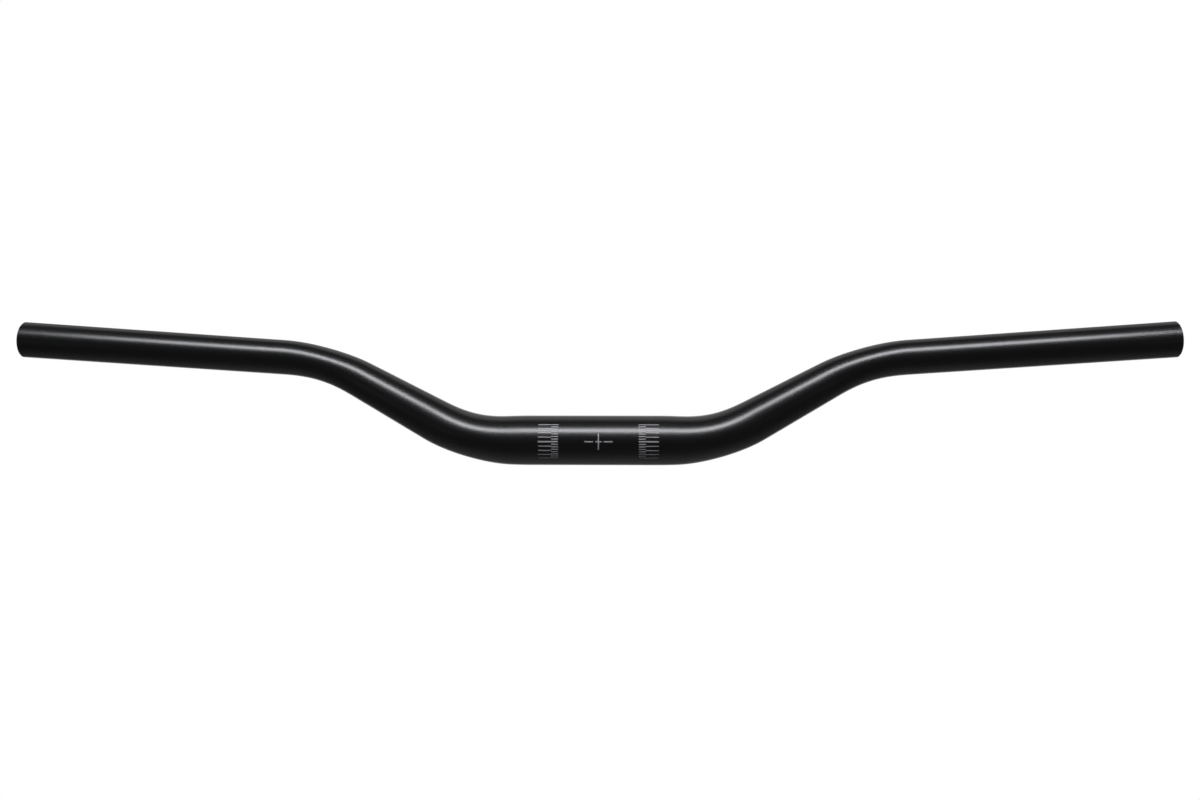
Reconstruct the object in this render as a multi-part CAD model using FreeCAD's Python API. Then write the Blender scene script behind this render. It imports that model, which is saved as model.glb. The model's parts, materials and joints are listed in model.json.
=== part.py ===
import FreeCAD, Part
import math
import os

# Mountain bike riser handlebar: one aluminium tube, thick at the clamp and thin at
# the grips, bent up and then out on each side, hollow and open at both cut ends.
# Origin at the middle of the clamp, +X along the clamp, +Y forwards, +Z up.

# Overall size, between the outermost edges of the two cut ends
overall_width = 720.0

# Tube diameters and walls
clamp_diameter = 31.8
grip_diameter = 22.2
clamp_wall = 2.6
grip_wall = 2.0

# Straight lengths: the clamp at full diameter, the shoulder on each side of it
# where the taper starts, and the riser
clamp_zone = 80.0
shoulder_length = 12.5
riser_length = 53.5

# Bend radii on the centre line, and the directions of the riser and the grip
lower_bend_radius = 104.0
upper_bend_radius = 117.0
riser_angle = 28.8
up_sweep = 3.8
back_sweep = 6.0

# Bending flattens the tube: share of its height that it loses in the middle of a
# bend, and of its width that it gains there
bend_flattening = 0.035

# Chamfers of the cut ends
rim_chamfer = 0.6
bore_chamfer = 0.5

# Rings that a loft passes through where the tube bends or its slope changes
curved_rings = 5
straight_rings = 2

# Worked-out values
clamp_centre = FreeCAD.Vector(0, 0, 0)
tube_axis = FreeCAD.Vector(1, 0, 0)
side_axis = FreeCAD.Vector(0, 1, 0)
lift_axis = FreeCAD.Vector(0, 0, 1)
clamp_radius = clamp_diameter / 2
grip_radius = grip_diameter / 2
clamp_bore_radius = clamp_radius - clamp_wall
grip_bore_radius = grip_radius - grip_wall


# Straight run of the centre line
class Run:
    def __init__(self, start, length):
        self.start = start
        self.length = length

    def place(self, travelled):
        return self.start * FreeCAD.Placement(tube_axis * travelled, FreeCAD.Rotation())

    def flattening(self, share):
        return 0


# Bend of the centre line, tangent to the runs before and after it
class Bend:
    def __init__(self, start, new_direction, radius):
        direction = start.Rotation.multVec(tube_axis)
        self.start = start
        self.radius = radius
        self.axis = direction.cross(new_direction).normalize()
        self.centre = start.Base + self.axis.cross(direction) * radius
        self.length = radius * direction.getAngle(new_direction)

    def place(self, travelled):
        turn = FreeCAD.Rotation(self.axis, math.degrees(travelled / self.radius))
        point = self.centre + turn.multVec(self.start.Base - self.centre)
        return FreeCAD.Placement(point, turn * self.start.Rotation)

    def flattening(self, share):
        return bend_flattening * (4 * share * (1 - share)) ** 2


# Direction of a run that climbs and sweeps back
def run_direction(climb, sweep):
    level = math.cos(math.radians(climb))
    return FreeCAD.Vector(
        level * math.cos(math.radians(sweep)),
        -level * math.sin(math.radians(sweep)),
        math.sin(math.radians(climb)),
    )


# Centre line of the right half, from the middle of the clamp to the cut end
def half_line():
    grip_direction = run_direction(up_sweep, back_sweep)
    clamp_run = Run(FreeCAD.Placement(), clamp_zone / 2)
    shoulder_run = Run(clamp_run.place(clamp_run.length), shoulder_length)
    bend_start = shoulder_run.place(shoulder_run.length)
    lower_bend = Bend(bend_start, run_direction(riser_angle, 0), lower_bend_radius)
    riser_run = Run(lower_bend.place(lower_bend.length), riser_length)
    upper_bend = Bend(riser_run.place(riser_run.length), grip_direction, upper_bend_radius)
    grip_start = upper_bend.place(upper_bend.length)
    rim_reach = (grip_radius - rim_chamfer) * math.sin(tube_axis.getAngle(grip_direction))
    grip_length = (overall_width / 2 - rim_reach - grip_start.Base.x) / grip_direction.x
    return [clamp_run, shoulder_run, lower_bend, riser_run, upper_bend, Run(grip_start, grip_length)]


# Section across the centre line, round or flattened, starting at its side
def ring(place, radius, flattening):
    if flattening:
        width_end = side_axis * (radius * (1 + flattening))
        height_end = lift_axis * (radius * (1 - flattening))
        section = Part.Ellipse(width_end, height_end, clamp_centre)
    else:
        section = Part.Circle(clamp_centre, tube_axis, radius)
        section.XAxis = side_axis
    edge = section.toShape()
    edge.Placement = place
    return Part.Wire(edge)


# Solid bar along one piece of the centre line, whose slope changes evenly on the way
def tapered_bar(piece, first_radius, first_slope, last_slope):
    is_cone = isinstance(piece, Run) and first_slope == last_slope
    steps = (straight_rings if is_cone else curved_rings) - 1
    rings = []
    for step in range(steps + 1):
        share = step / steps
        mean_slope = first_slope + (last_slope - first_slope) * share / 2
        travelled = piece.length * share
        radius = first_radius - mean_slope * travelled
        rings.append(ring(piece.place(travelled), radius, piece.flattening(share)))
    return Part.makeLoft(rings, True)


# Solid bar of the right half: the taper starts on the shoulder, keeps a steady
# slope through the lower bend and the riser, and fades out in the upper bend
def half_bar(line, thick_radius, thin_radius):
    clamp_run, shoulder_run, lower_bend, riser_run, upper_bend, grip_run = line
    soft_length = (shoulder_run.length + upper_bend.length) / 2
    slope = (thick_radius - thin_radius) / (soft_length + lower_bend.length + riser_run.length)
    riser_top_radius = thin_radius + slope * upper_bend.length / 2
    riser_foot_radius = riser_top_radius + slope * riser_run.length
    shoulder_radius = riser_foot_radius + slope * lower_bend.length
    bars = [
        tapered_bar(clamp_run, thick_radius, 0, 0),
        tapered_bar(shoulder_run, thick_radius, 0, slope),
        tapered_bar(lower_bend, shoulder_radius, slope, slope),
        tapered_bar(riser_run, riser_foot_radius, slope, slope),
        tapered_bar(upper_bend, riser_top_radius, slope, 0),
        tapered_bar(grip_run, thin_radius, 0, 0),
    ]
    return bars[0].multiFuse(bars[1:])


# Round edge of the cut end, on the outside or in the bore
def end_edge(tube, end_centre, radius):
    def miss(edge):
        return edge.Curve.Center.distanceToPoint(end_centre) + abs(edge.Curve.Radius - radius)

    return min((edge for edge in tube.Edges if isinstance(edge.Curve, Part.Circle)), key=miss)


# Hollow right half, with its cut end chamfered outside and in the bore
def half_tube():
    line = half_line()
    end_centre = line[-1].place(line[-1].length).Base
    outside = half_bar(line, clamp_radius, grip_radius)
    tube = outside.cut(half_bar(line, clamp_bore_radius, grip_bore_radius))
    tube = tube.makeChamfer(rim_chamfer, [end_edge(tube, end_centre, grip_radius)])
    return tube.makeChamfer(bore_chamfer, [end_edge(tube, end_centre, grip_bore_radius)])


right_half = half_tube()
left_half = right_half.mirror(clamp_centre, tube_axis)
handlebar = right_half.fuse(left_half).removeSplitter().Solids[0]

os.makedirs("parts", exist_ok=True)
handlebar.exportStep("parts/handlebar.step")
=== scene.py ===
import json
import math
import bmesh
import bpy
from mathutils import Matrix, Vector


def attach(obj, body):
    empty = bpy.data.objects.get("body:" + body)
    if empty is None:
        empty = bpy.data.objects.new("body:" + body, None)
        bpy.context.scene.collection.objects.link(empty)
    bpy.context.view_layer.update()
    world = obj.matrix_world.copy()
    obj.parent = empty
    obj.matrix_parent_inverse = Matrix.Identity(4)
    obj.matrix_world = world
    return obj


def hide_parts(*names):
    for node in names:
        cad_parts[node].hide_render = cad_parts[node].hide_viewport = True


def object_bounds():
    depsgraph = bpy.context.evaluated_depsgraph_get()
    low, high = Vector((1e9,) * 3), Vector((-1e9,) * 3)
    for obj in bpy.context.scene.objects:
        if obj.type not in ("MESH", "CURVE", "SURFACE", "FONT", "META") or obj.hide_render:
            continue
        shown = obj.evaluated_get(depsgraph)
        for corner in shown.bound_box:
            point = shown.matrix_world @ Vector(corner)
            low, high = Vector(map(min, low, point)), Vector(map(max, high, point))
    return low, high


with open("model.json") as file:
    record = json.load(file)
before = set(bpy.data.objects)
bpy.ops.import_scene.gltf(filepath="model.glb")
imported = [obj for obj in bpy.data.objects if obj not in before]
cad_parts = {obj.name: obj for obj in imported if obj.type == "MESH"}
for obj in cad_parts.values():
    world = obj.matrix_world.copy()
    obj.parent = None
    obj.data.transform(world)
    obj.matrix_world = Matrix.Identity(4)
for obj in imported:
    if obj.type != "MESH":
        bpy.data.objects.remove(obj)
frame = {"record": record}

cadLow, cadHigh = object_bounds()
mounts = {mount["name"]: mount for mount in frame["record"]["mounts"]}
scene = bpy.context.scene
scene.view_settings.view_transform = 'Standard'
mm = 0.001
up = (0, 0, 1)
noiseSpread = (0.3, 0.7)        # where most values of a noise lie


# small helpers for node trees

def addNode(tree, kind, inputs=None, **settings):
    node = tree.nodes.new(kind)
    for name, value in settings.items():
        setattr(node, name, value)
    for key, value in (inputs or {}).items():
        if isinstance(value, bpy.types.NodeSocket):
            tree.links.new(value, node.inputs[key])
        else:
            node.inputs[key].default_value = value
    return node


def mathNode(tree, operation, first, second=0.0):
    return addNode(tree, 'ShaderNodeMath', {0: first, 1: second}, operation=operation).outputs[0]


def vectorNode(tree, operation, first, second=(0, 0, 0)):
    return addNode(tree, 'ShaderNodeVectorMath', {0: first, 1: second}, operation=operation).outputs[0]


def combineNode(tree, x=0.0, y=0.0, z=0.0):
    return addNode(tree, 'ShaderNodeCombineXYZ', {'X': x, 'Y': y, 'Z': z}).outputs[0]


def splitNode(tree, vector):
    return addNode(tree, 'ShaderNodeSeparateXYZ', {0: vector}).outputs


def reachNode(tree, first, second):        # distance from the axis that is square to both
    across = combineNode(tree, first, second)
    return addNode(tree, 'ShaderNodeVectorMath', {0: across}, operation='LENGTH').outputs['Value']


def rampNode(tree, value, fromRange, toRange):
    ramp = addNode(tree, 'ShaderNodeMapRange', {'Value': value}, interpolation_type='SMOOTHSTEP')
    for key, number in zip(('From Min', 'From Max', 'To Min', 'To Max'), (*fromRange, *toRange)):
        ramp.inputs[key].default_value = number
    return ramp.outputs[0]


def newTree(name, inputs):
    tree = bpy.data.node_groups.new(name, 'GeometryNodeTree')
    for label, kind in inputs.items():
        tree.interface.new_socket(label, in_out='INPUT', socket_type='NodeSocket' + kind)
    tree.interface.new_socket("Geometry", in_out='OUTPUT', socket_type='NodeSocketGeometry')
    return tree, tree.nodes.new('NodeGroupInput').outputs


def endTree(tree, geometry):
    addNode(tree, 'NodeGroupOutput', {"Geometry": geometry})


def runTree(piece, tree, values):
    modifier = piece.modifiers.new(tree.name, 'NODES')
    modifier.node_group = tree
    for socket in tree.interface.items_tree:
        if socket.name in values:
            modifier[socket.identifier] = values[socket.name]
    graph = bpy.context.evaluated_depsgraph_get()
    mesh = bpy.data.meshes.new_from_object(piece.evaluated_get(graph))
    piece.modifiers.clear()
    piece.data = mesh


def newPiece(name, data):        # a mesh, curve, lamp or camera
    piece = bpy.data.objects.new(name, data)
    scene.collection.objects.link(piece)
    return piece


# finishes

def newFinish(name):
    material = bpy.data.materials.new(name)
    material.use_nodes = True
    tree = material.node_tree
    return material, tree, tree.nodes['Principled BSDF']


def objectPlace(tree):
    return addNode(tree, 'ShaderNodeTexCoord').outputs['Object']


def unbentPlace(tree):        # where a point of the tube was before the tube was bent
    return addNode(tree, 'ShaderNodeAttribute', attribute_name="unbent").outputs['Vector']


def noise(tree, place, scale, detail):
    return addNode(tree, 'ShaderNodeTexNoise', {
        'Vector': place, 'Scale': scale, 'Detail': detail}).outputs['Fac']


def blend(tree, share, first, second):
    mix = addNode(tree, 'ShaderNodeMix', {'Factor': share}, data_type='RGBA')
    mix.inputs['A'].default_value = (*first, 1)
    mix.inputs['B'].default_value = (*second, 1)
    return mix.outputs['Result']


def addBump(tree, shader, height, depth):
    bump = addNode(tree, 'ShaderNodeBump', {'Height': height, 'Distance': depth, 'Strength': 1.0})
    tree.links.new(bump.outputs['Normal'], shader.inputs['Normal'])


satinBlack = {
    "deep": (0.0038, 0.0038, 0.0042),
    "faded": (0.0058, 0.0058, 0.0062),        # where the dye took a little less
    "fadeScale": 45,                          # patches per metre
    "satin": (0.281, 0.289),                  # roughness, from the smoothest patch to the dullest
    "mottleScale": 70,
    "oxideIor": 1.5,
    "blastScale": 4000,                       # pits of the bead blast per metre
    "blastDepth": 0.008 * mm,
}


def makeSatinBlack():
    material, tree, shader = newFinish("satinBlack")
    place = objectPlace(tree)
    fade = noise(tree, place, satinBlack["fadeScale"], detail=3)
    mottle = noise(tree, place, satinBlack["mottleScale"], detail=1)
    pits = noise(tree, place, satinBlack["blastScale"], detail=1)
    tree.links.new(blend(tree, fade, satinBlack["deep"], satinBlack["faded"]), shader.inputs['Base Color'])
    tree.links.new(rampNode(tree, mottle, noiseSpread, satinBlack["satin"]), shader.inputs['Roughness'])
    shader.inputs['IOR'].default_value = satinBlack["oxideIor"]
    addBump(tree, shader, pits, satinBlack["blastDepth"])
    return material


cutRim = {
    "black": (0.03, 0.03, 0.031),
    "bare": (0.30, 0.30, 0.31),               # aluminium, where the edge has rubbed through
    "wearScale": 900,
    "wearFrom": (0.63, 0.76),                 # noise level at which the black gives way
    "roughness": 0.42,
    "turnPitch": 0.25 * mm,                   # rings that the cutting-off tool left
    "turnDepth": 0.006 * mm,
}


def makeCutRim():
    material, tree, shader = newFinish("cutRim")
    wear = noise(tree, objectPlace(tree), cutRim["wearScale"], detail=4)
    worn = rampNode(tree, wear, cutRim["wearFrom"], (0, 1))
    tree.links.new(blend(tree, worn, cutRim["black"], cutRim["bare"]), shader.inputs['Base Color'])
    tree.links.new(worn, shader.inputs['Metallic'])
    shader.inputs['Roughness'].default_value = cutRim["roughness"]
    unbent = splitNode(tree, unbentPlace(tree))
    radius = reachNode(tree, unbent['Y'], unbent['Z'])
    rings = mathNode(tree, 'SINE', mathNode(tree, 'MULTIPLY', radius, math.tau / cutRim["turnPitch"]))
    addBump(tree, shader, rings, cutRim["turnDepth"])
    return material


drawnBore = {
    "dark": (0.025, 0.025, 0.026),
    "light": (0.10, 0.10, 0.103),
    "lines": (25, 1800, 1800),                # stretched along the tube: the lines of its drawing
    "lineEdge": (0.35, 0.65),                 # noise level from dark to light
    "roughness": (0.5, 0.7),
    "lineDepth": 0.02 * mm,
}


def makeDrawnBore():
    material, tree, shader = newFinish("drawnBore")
    stretched = addNode(tree, 'ShaderNodeMapping', {
        'Vector': unbentPlace(tree), 'Scale': drawnBore["lines"]}).outputs[0]
    lines = rampNode(tree, noise(tree, stretched, 1, detail=3), drawnBore["lineEdge"], (0, 1))
    tree.links.new(blend(tree, lines, drawnBore["dark"], drawnBore["light"]), shader.inputs['Base Color'])
    tree.links.new(rampNode(tree, lines, (0, 1), drawnBore["roughness"]), shader.inputs['Roughness'])
    addBump(tree, shader, lines, drawnBore["lineDepth"])
    return material


etchedGrey = {
    "pale": (0.34, 0.34, 0.35),
    "thin": (0.29, 0.29, 0.30),               # where the etch is shallow
    "etchScale": 2400,
    "roughness": (0.45, 0.65),
    "etchDepth": 0.004 * mm,
}


def makeEtchedGrey():
    material, tree, shader = newFinish("etchedGrey")
    etch = noise(tree, objectPlace(tree), etchedGrey["etchScale"], detail=2)
    tree.links.new(blend(tree, etch, etchedGrey["thin"], etchedGrey["pale"]), shader.inputs['Base Color'])
    tree.links.new(rampNode(tree, etch, noiseSpread, etchedGrey["roughness"]), shader.inputs['Roughness'])
    addBump(tree, shader, etch, etchedGrey["etchDepth"])
    return material


# bent tube: turned straight with its butted wall, then bent along the centre line

tube = {
    "shoulder": 12.5 * mm,                    # straight beside the clamp, where the taper starts
    "lowerBend": 104 * mm,                    # bend radii on the centre line
    "riserRun": 53.5 * mm,
    "riserAngle": math.radians(28.8),
    "upperBend": 117 * mm,
    "flattening": 0.035,                      # share of its height that the tube loses in mid-bend
    "clampWall": 2.6 * mm,
    "rimChamfer": 0.6 * mm,
    "boreChamfer": 0.5 * mm,
    "ringGap": 3 * mm,                        # mesh rings along the tube
    "sides": 80,
    "arcSteps": 48,                           # steps of the centre line in each bend
    "sharpAngle": math.radians(30),           # edges sharper than this stay crisp
}
skins = ("Outside", "Cut rim", "Bore")        # numbered in this order on the mesh

clampRadius = mounts["stem_clamp"]["dims"]["r_mm"] * mm
clampReach = mounts["stem_clamp"]["dims"]["length_mm"] * mm / 2
gripRadius = mounts["right_grip"]["dims"]["r_mm"] * mm
gripBore = mounts["right_end_bore"]["dims"]["r_mm"] * mm
gripAxis = Vector(mounts["right_grip"]["axis"])
riserAxis = Vector((math.cos(tube["riserAngle"]), 0, math.sin(tube["riserAngle"])))
upperTurn = riserAxis.angle(gripAxis)

# corners of the right half, where its straight runs would meet
lowerLead = tube["lowerBend"] * math.tan(tube["riserAngle"] / 2)
upperLead = tube["upperBend"] * math.tan(upperTurn / 2)
lowerCorner = Vector((clampReach + tube["shoulder"] + lowerLead, 0, 0))
upperCorner = lowerCorner + riserAxis * (lowerLead + tube["riserRun"] + upperLead)
rimReach = (gripRadius - tube["rimChamfer"]) * math.sin(gripAxis.angle(Vector((1, 0, 0))))
cutEnd = upperCorner + gripAxis * ((cadHigh.x - rimReach - upperCorner.x) / gripAxis.x)

# distances along the centre line from the middle of the clamp
bendStart = clampReach + tube["shoulder"]
lowerArc = tube["lowerBend"] * tube["riserAngle"]
riserTop = bendStart + lowerArc + tube["riserRun"]
upperArc = tube["upperBend"] * upperTurn
halfLength = riserTop + upperArc + (cutEnd - upperCorner).length - upperLead


def tubeRadius(x, thick, thin):        # the taper eases in on the shoulder and out in the upper bend
    travel = abs(x)
    easeIn = min(max(travel - clampReach, 0), tube["shoulder"])
    steady = min(max(travel - bendStart, 0), riserTop - bendStart)
    easeOut = min(max(travel - riserTop, 0), upperArc)
    fallen = easeIn ** 2 / (2 * tube["shoulder"]) + steady + easeOut - easeOut ** 2 / (2 * upperArc)
    fall = tube["shoulder"] / 2 + riserTop - bendStart + upperArc / 2
    return thick + (thin - thick) * fallen / fall


def flatShare(x):        # how much the bends have flattened the tube there
    travel = abs(x)
    lower = min(max((travel - bendStart) / lowerArc, 0), 1)
    upper = min(max((travel - riserTop) / upperArc, 0), 1)
    return tube["flattening"] * ((4 * lower * (1 - lower)) ** 2 + (4 * upper * (1 - upper)) ** 2)


def sectionLine(chamfer, thick, thin, rimRadius):        # one skin from cut end to cut end, with its chamfers
    rings = 2 * round(halfLength / tube["ringGap"])
    places = [(halfLength - chamfer) * (2 * ring / rings - 1) for ring in range(rings + 1)]
    line = [(x, tubeRadius(x, thick, thin)) for x in places]
    return [(-halfLength, rimRadius), *line, (halfLength, rimRadius)]


def turnTube():
    outside = sectionLine(tube["rimChamfer"], clampRadius, gripRadius, gripRadius - tube["rimChamfer"])
    clampBore = clampRadius - tube["clampWall"]
    bore = sectionLine(tube["boreChamfer"], clampBore, gripBore, gripBore + tube["boreChamfer"])
    bm = bmesh.new()
    corners = [bm.verts.new((x, 0, radius)) for x, radius in outside + bore[::-1]]
    edges = [bm.edges.new((corners[i - 1], corners[i])) for i in range(len(corners))]
    bmesh.ops.spin(bm, geom=corners + edges, axis=(1, 0, 0), angle=math.tau,
                   steps=tube["sides"], use_merge=True)
    bmesh.ops.recalc_face_normals(bm, faces=bm.faces)
    skinNumber = bm.faces.layers.int.new("skin")
    for face in bm.faces:
        middle = face.calc_center_median()
        midWall = tubeRadius(middle.x, (clampRadius + clampBore) / 2, (gripRadius + gripBore) / 2)
        inBore = math.hypot(middle.y, middle.z) < midWall
        atRim = abs(middle.x) > halfLength - tube["rimChamfer"]
        face[skinNumber] = skins.index("Cut rim" if atRim else "Bore" if inBore else "Outside")
        face.smooth = True
    for corner in bm.verts:
        flat = flatShare(corner.co.x)
        corner.co.y *= 1 + flat
        corner.co.z *= 1 - flat
    mesh = bpy.data.meshes.new("turnedTube")
    bm.to_mesh(mesh)
    bm.free()
    return mesh


def makeCentreLine():        # point radius holds the bend radius at each corner
    half = [(lowerCorner, tube["lowerBend"]), (upperCorner, tube["upperBend"]), (cutEnd, 0)]
    points = [(Vector((-corner.x, corner.y, corner.z)), bend) for corner, bend in half[::-1]] + half
    curve = bpy.data.curves.new("centreLine", 'CURVE')
    curve.dimensions = '3D'
    spline = curve.splines.new('POLY')
    spline.points.add(len(points) - 1)
    for point, (corner, bend) in zip(spline.points, points):
        point.co = (*corner, 1)
        point.radius = bend
    return newPiece("centreLine", curve)


def makeBendTree():
    tree, given = newTree("bendTube", {
        "Straight tube": 'Geometry', "Centre line": 'Object', "Arc steps": 'Int',
        "Outside": 'Material', "Cut rim": 'Material', "Bore": 'Material'})
    line = addNode(tree, 'GeometryNodeObjectInfo', {'Object': given["Centre line"]}).outputs['Geometry']
    bends = addNode(tree, 'GeometryNodeInputRadius').outputs[0]
    line = addNode(tree, 'GeometryNodeFilletCurve', {
        'Curve': line, 'Count': given["Arc steps"], 'Radius': bends}, mode='POLY').outputs[0]
    length = addNode(tree, 'GeometryNodeCurveLength', {'Curve': line}).outputs[0]
    place = addNode(tree, 'GeometryNodeInputPosition').outputs[0]
    offset = splitNode(tree, place)
    travel = mathNode(tree, 'ADD', offset['X'], mathNode(tree, 'MULTIPLY', length, 0.5))
    sample = addNode(tree, 'GeometryNodeSampleCurve', {'Curves': line, 'Length': travel}, mode='LENGTH')
    ahead = sample.outputs['Tangent']
    aside = vectorNode(tree, 'NORMALIZE', vectorNode(tree, 'CROSS_PRODUCT', up, ahead))
    lift = vectorNode(tree, 'NORMALIZE', vectorNode(tree, 'CROSS_PRODUCT', ahead, aside))
    bent = sample.outputs['Position']
    for direction, axis in ((aside, 'Y'), (lift, 'Z')):
        step = addNode(tree, 'ShaderNodeVectorMath', {
            0: direction, 'Scale': offset[axis]}, operation='SCALE').outputs[0]
        bent = vectorNode(tree, 'ADD', bent, step)
    shape = addNode(tree, 'GeometryNodeStoreNamedAttribute', {
        'Geometry': given["Straight tube"], 'Name': "unbent", 'Value': place},
        data_type='FLOAT_VECTOR').outputs[0]
    shape = addNode(tree, 'GeometryNodeSetPosition', {'Geometry': shape, 'Position': bent}).outputs[0]
    shape = addNode(tree, 'GeometryNodeRealizeInstances', {0: shape}).outputs[0]
    skin = addNode(tree, 'GeometryNodeInputNamedAttribute', {
        'Name': "skin"}, data_type='INT').outputs['Attribute']
    for number, finish in enumerate(skins):
        chosen = addNode(tree, 'FunctionNodeCompare', {
            'A': skin, 'B': number}, data_type='INT', operation='EQUAL').outputs[0]
        shape = addNode(tree, 'GeometryNodeSetMaterial', {
            'Geometry': shape, 'Selection': chosen, 'Material': given[finish]}).outputs[0]
    endTree(tree, shape)
    return tree


centreLine = makeCentreLine()
handlebarTube = newPiece("handlebar_tube", turnTube())
runTree(handlebarTube, makeBendTree(), {
    "Centre line": centreLine, "Arc steps": tube["arcSteps"],
    "Outside": makeSatinBlack(), "Cut rim": makeCutRim(), "Bore": makeDrawnBore()})
bpy.data.objects.remove(centreLine)
handlebarTube.data.set_sharp_from_angle(angle=tube["sharpAngle"])
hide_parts("handlebar")
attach(handlebarTube, "root")
print("tube bent:", round(2 * halfLength / mm, 1), "mm long,", len(handlebarTube.data.polygons), "faces")


# alignment marks on the clamp: laid out flat, then wrapped round the tube

clampMarks = {
    "longTicks": 9,                           # in the outer column of each block
    "shortTicks": 15,                         # in the inner column, over the same span
    "span": math.radians(82.5),               # angle of the clamp that a column covers
    "shift": 3.2 * mm,                        # the print sits a little right of the middle
    "innerEdge": 25.3 * mm,                   # from the cross to a block
    "shortLength": 4.45 * mm,
    "longLength": 8.2 * mm,
    "columnGap": 0.05 * mm,                   # keeps short and long ticks from sharing corners
    "tickWidth": 0.56 * mm,
    "boldShare": 1.5,                         # width of the middle tick against the others
    "crossHeight": 10.3 * mm,
    "crossWidth": 0.7 * mm,
    "crossDashes": ((-6.1 * mm, 5.4 * mm), (0, 4.1 * mm), (6.1 * mm, 5.4 * mm)),        # place and length
    "uprightRows": 24,                        # mesh rows, so that the cross follows the tube
    "dashRows": 2,
    "proud": 0.03 * mm,                       # thickness over the tube and into it
    "sunk": 0.08 * mm,
}


def makeTickColumnTree():
    tree, given = newTree("tickColumn", {
        "Ticks": 'Int', "Middle": 'Float', "Span": 'Float', "Length": 'Float',
        "Width": 'Float', "Bold share": 'Float', "Depth": 'Float', "Layer": 'Float'})
    last = mathNode(tree, 'SUBTRACT', given["Ticks"], 1.0)
    lowest = mathNode(tree, 'MULTIPLY', given["Span"], -0.5)
    pitch = mathNode(tree, 'DIVIDE', given["Span"], last)
    column = addNode(tree, 'GeometryNodeMeshLine', {
        'Count': given["Ticks"], 'Offset': combineNode(tree, z=pitch),
        'Start Location': combineNode(tree, given["Middle"], given["Layer"], lowest)}).outputs[0]
    tick = addNode(tree, 'GeometryNodeMeshCube', {
        'Size': combineNode(tree, given["Length"], given["Depth"], given["Width"])}).outputs[0]
    number = addNode(tree, 'GeometryNodeInputIndex').outputs[0]
    isMiddle = mathNode(tree, 'COMPARE', number, mathNode(tree, 'MULTIPLY', last, 0.5))
    extra = mathNode(tree, 'MULTIPLY', isMiddle, mathNode(tree, 'SUBTRACT', given["Bold share"], 1.0))
    width = mathNode(tree, 'ADD', extra, 1.0)
    ticks = addNode(tree, 'GeometryNodeInstanceOnPoints', {
        'Points': column, 'Instance': tick, 'Scale': combineNode(tree, 1.0, 1.0, width)}).outputs[0]
    endTree(tree, addNode(tree, 'GeometryNodeRealizeInstances', {0: ticks}).outputs[0])
    return tree


def makeStrokeTree():
    tree, given = newTree("crossStroke", {
        "Middle": 'Float', "Length": 'Float', "Height": 'Float', "Rows": 'Int',
        "Depth": 'Float', "Layer": 'Float'})
    size = combineNode(tree, given["Length"], given["Depth"], given["Height"])
    stroke = addNode(tree, 'GeometryNodeMeshCube', {'Size': size, 'Vertices Z': given["Rows"]}).outputs[0]
    place = combineNode(tree, given["Middle"], given["Layer"])
    endTree(tree, addNode(tree, 'GeometryNodeTransform', {
        'Geometry': stroke, 'Translation': place}).outputs[0])
    return tree


def makeMarksTree():
    tree, given = newTree("clampMarks", {
        "Clamp radius": 'Float', "Shift": 'Float', "Span": 'Float', "Tick width": 'Float',
        "Bold share": 'Float', "Cross width": 'Float', "Cross height": 'Float',
        "Depth": 'Float', "Layer": 'Float', "Finish": 'Material'})
    join = tree.nodes.new('GeometryNodeJoinGeometry')
    shared = {"Depth": given["Depth"], "Layer": given["Layer"]}
    tickColumnTree = makeTickColumnTree()
    longStart = clampMarks["innerEdge"] + clampMarks["shortLength"] + clampMarks["columnGap"]
    columns = [(clampMarks["shortTicks"], clampMarks["innerEdge"], clampMarks["shortLength"]),
               (clampMarks["longTicks"], longStart, clampMarks["longLength"])]
    for side in (-1, 1):
        for count, start, length in columns:
            column = addNode(tree, 'GeometryNodeGroup', {
                "Ticks": count, "Middle": side * (start + length / 2), "Length": length,
                "Span": given["Span"], "Width": given["Tick width"], "Bold share": given["Bold share"],
                **shared}, node_tree=tickColumnTree)
            tree.links.new(column.outputs[0], join.inputs[0])
    strokeTree = makeStrokeTree()
    strokes = [(0, given["Cross width"], given["Cross height"], clampMarks["uprightRows"])]
    for middle, length in clampMarks["crossDashes"]:
        strokes.append((middle, length, given["Cross width"], clampMarks["dashRows"]))
    for middle, length, height, rows in strokes:
        stroke = addNode(tree, 'GeometryNodeGroup', {
            "Middle": middle, "Length": length, "Height": height, "Rows": rows,
            **shared}, node_tree=strokeTree)
        tree.links.new(stroke.outputs[0], join.inputs[0])
    flat = splitNode(tree, addNode(tree, 'GeometryNodeInputPosition').outputs[0])
    radius = mathNode(tree, 'SUBTRACT', given["Clamp radius"], flat['Y'])
    angle = mathNode(tree, 'DIVIDE', flat['Z'], given["Clamp radius"])
    across = mathNode(tree, 'ADD', flat['X'], given["Shift"])
    forward = mathNode(tree, 'MULTIPLY', radius, mathNode(tree, 'COSINE', angle))
    lift = mathNode(tree, 'MULTIPLY', radius, mathNode(tree, 'SINE', angle))
    wrapped = combineNode(tree, across, mathNode(tree, 'MULTIPLY', forward, -1.0), lift)
    shape = addNode(tree, 'GeometryNodeSetPosition', {
        'Geometry': join.outputs[0], 'Position': wrapped}).outputs[0]
    shape = addNode(tree, 'GeometryNodeRealizeInstances', {0: shape}).outputs[0]
    endTree(tree, addNode(tree, 'GeometryNodeSetMaterial', {
        'Geometry': shape, 'Material': given["Finish"]}).outputs[0])
    return tree


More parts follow.
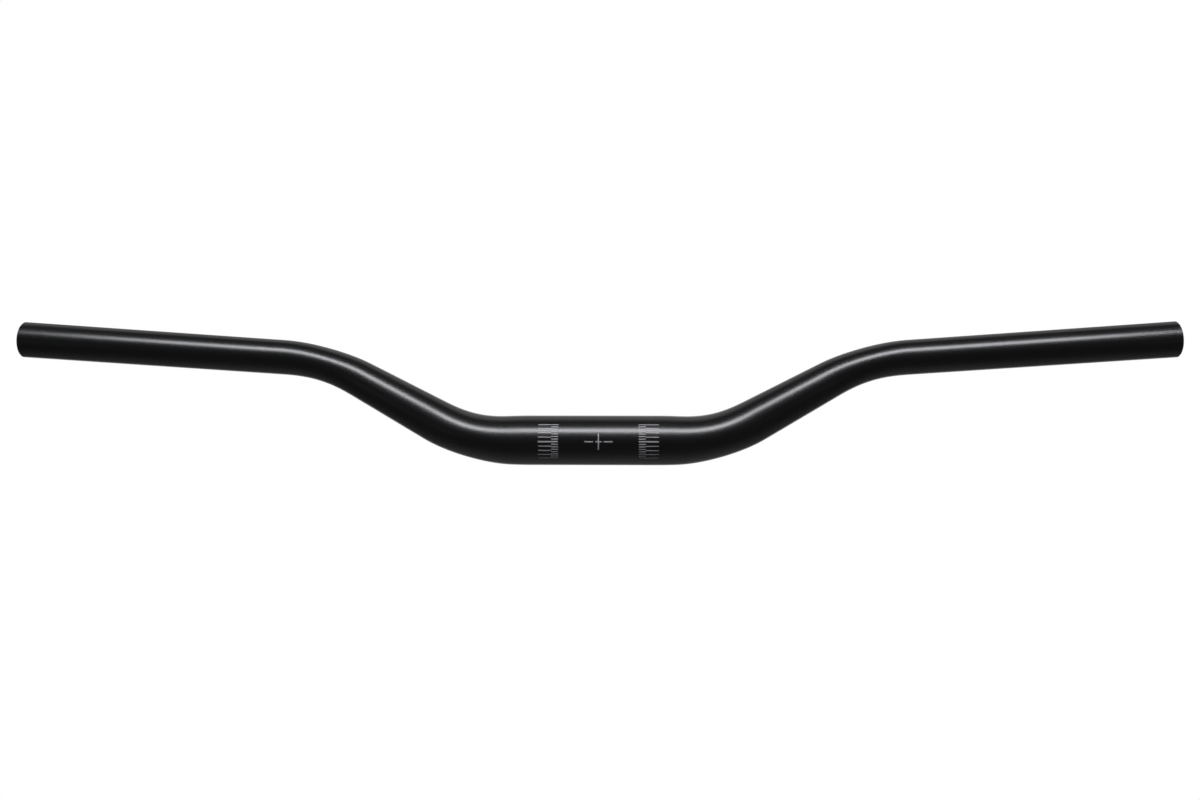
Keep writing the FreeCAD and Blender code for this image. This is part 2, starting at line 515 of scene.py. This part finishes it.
alignmentMarks = newPiece("clamp_marks", bpy.data.meshes.new("clampMarks"))
runTree(alignmentMarks, makeMarksTree(), {
    "Clamp radius": clampRadius, "Shift": clampMarks["shift"], "Span": clampMarks["span"] * clampRadius,
    "Tick width": clampMarks["tickWidth"], "Bold share": clampMarks["boldShare"],
    "Cross width": clampMarks["crossWidth"], "Cross height": clampMarks["crossHeight"],
    "Depth": clampMarks["proud"] + clampMarks["sunk"],
    "Layer": (clampMarks["sunk"] - clampMarks["proud"]) / 2, "Finish": makeEtchedGrey()})
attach(alignmentMarks, "root")
print("clamp marked:", len(alignmentMarks.data.polygons), "faces")


# studio: pale floor, white backdrop behind the bar, dim room on the camera's side

studio = {
    "floorDrop": 0.9,                         # from the clamp's axis down to the floor
    "floorSize": 12.0,
    "floorColour": (0.60, 0.60, 0.59),
    "floorRoughness": 0.9,
    "nearWhite": 0.82,                        # share of plain white in the floor close to the bar
    "shadowReach": (0.8, 1.5),                # distance over which the camera's floor turns plain white
    "whiteBehind": (1.1, 2.2),                # the same for the mirrored floor behind the bar
    "whiteBeside": (1.6, 2.6),                # and at its ends
    "backdrop": (0.68, 1.0),                  # how squarely a direction has to face the backdrop
    "sideWalls": (0.75, 1.0),                 # or one of the walls at the ends
    "sideWhite": 0.45,                        # how white those are against the backdrop
    "roomLight": 0.035,
}


def paleAround(tree, axes, behindRange, besideRange):
    behind = rampNode(tree, axes['Y'], behindRange, (0, 1))
    beside = rampNode(tree, mathNode(tree, 'ABSOLUTE', axes['X']), besideRange, (0, studio["sideWhite"]))
    return mathNode(tree, 'MAXIMUM', behind, beside)


# camera rays see white, reflections see it behind and beside the bar
def seenWhite(tree, camera, around):
    path = addNode(tree, 'ShaderNodeLightPath').outputs
    mirrored = mathNode(tree, 'ADD', path['Is Glossy Ray'], path['Is Transmission Ray'])
    return mathNode(tree, 'MAXIMUM', mathNode(tree, 'MULTIPLY', path['Is Camera Ray'], camera),
                    mathNode(tree, 'MULTIPLY', mirrored, around))


def makeFloor():
    bm = bmesh.new()
    bmesh.ops.create_grid(bm, x_segments=1, y_segments=1, size=studio["floorSize"] / 2)
    bmesh.ops.translate(bm, verts=bm.verts, vec=(0, 0, -studio["floorDrop"]))
    mesh = bpy.data.meshes.new("studioFloor")
    bm.to_mesh(mesh)
    bm.free()
    floor = newPiece("studio_floor", mesh)
    material, tree, shader = newFinish("paleFloor")
    shader.inputs['Base Color'].default_value = (*studio["floorColour"], 1)
    shader.inputs['Roughness'].default_value = studio["floorRoughness"]
    ground = splitNode(tree, objectPlace(tree))
    reach = reachNode(tree, ground['X'], ground['Y'])
    near = rampNode(tree, reach, studio["shadowReach"], (studio["nearWhite"], 1))
    around = paleAround(tree, ground, studio["whiteBehind"], studio["whiteBeside"])
    white = addNode(tree, 'ShaderNodeEmission').outputs[0]
    mix = addNode(tree, 'ShaderNodeMixShader', {
        'Fac': seenWhite(tree, near, around), 1: shader.outputs[0], 2: white})
    tree.links.new(mix.outputs[0], tree.nodes['Material Output'].inputs['Surface'])
    mesh.materials.append(material)


def makeWorld():
    world = bpy.data.worlds.new("studioRoom")
    scene.world = world
    world.use_nodes = True
    tree = world.node_tree
    facing = splitNode(tree, addNode(tree, 'ShaderNodeTexCoord').outputs['Generated'])
    white = seenWhite(tree, 1.0, paleAround(tree, facing, studio["backdrop"], studio["sideWalls"]))
    strength = rampNode(tree, white, (0, 1), (studio["roomLight"], 1))
    background = tree.nodes['Background']
    background.inputs['Color'].default_value = (1, 1, 1, 1)
    tree.links.new(strength, background.inputs['Strength'])


# places and sizes in metres, spread in degrees
lamps = {
    "keyStrip": {"place": (0.025, -0.87, 1.0), "aim": (0.025, 0, 0.03), "size": (1.3, 0.36),
                 "watts": 4.05, "spread": 70, "colour": (0.95, 0.955, 1)},
    "backStrip": {"place": (0, 0.8, 1.2), "aim": (0, 0, 0.03), "size": (2.6, 0.8),
                  "watts": 1.8, "spread": 120, "colour": (1, 1, 1)},
    "leftStrip": {"place": (-1.3, 0, 1.1), "aim": (0, 0, 0.03), "size": (1.8, 0.25),
                  "watts": 1.8, "spread": 120, "colour": (1, 1, 1)},
    "rightStrip": {"place": (1.3, 0, 1.1), "aim": (0, 0, 0.03), "size": (1.8, 0.25),
                   "watts": 1.8, "spread": 120, "colour": (1, 1, 1)},
}


def makeLamp(name, lamp):
    light = bpy.data.lights.new(name, 'AREA')
    light.shape = 'RECTANGLE'
    light.size, light.size_y = lamp["size"]
    light.energy = lamp["watts"]
    light.color = lamp["colour"]
    light.spread = math.radians(lamp["spread"])
    holder = newPiece(name, light)
    holder.location = lamp["place"]
    holder.rotation_euler = (Vector(lamp["aim"]) - holder.location).to_track_quat('-Z', 'Y').to_euler()


makeFloor()
makeWorld()
for name, lamp in lamps.items():
    makeLamp(name, lamp)
print("studio lit:", len(lamps), "lamps")


# camera, level with the middle of the risers and facing the rider's side

view = {
    "place": (0.0192, -0.6690, 0.0360),
    "turn": 1.316,                            # degrees, as are tilt and roll
    "tilt": -0.864,
    "roll": -0.04,
    "lens": 31.29,                            # millimetres, as is the sensor's width
    "sensor": 36,
}

camera = bpy.data.cameras.new("photoCamera")
camera.sensor_fit = 'HORIZONTAL'
camera.sensor_width = view["sensor"]
camera.lens = view["lens"]
cameraHolder = newPiece("photoCamera", camera)
cameraHolder.location = view["place"]
cameraAngles = (90 + view["tilt"], view["roll"], view["turn"])
cameraHolder.rotation_euler = [math.radians(angle) for angle in cameraAngles]
scene.camera = cameraHolder
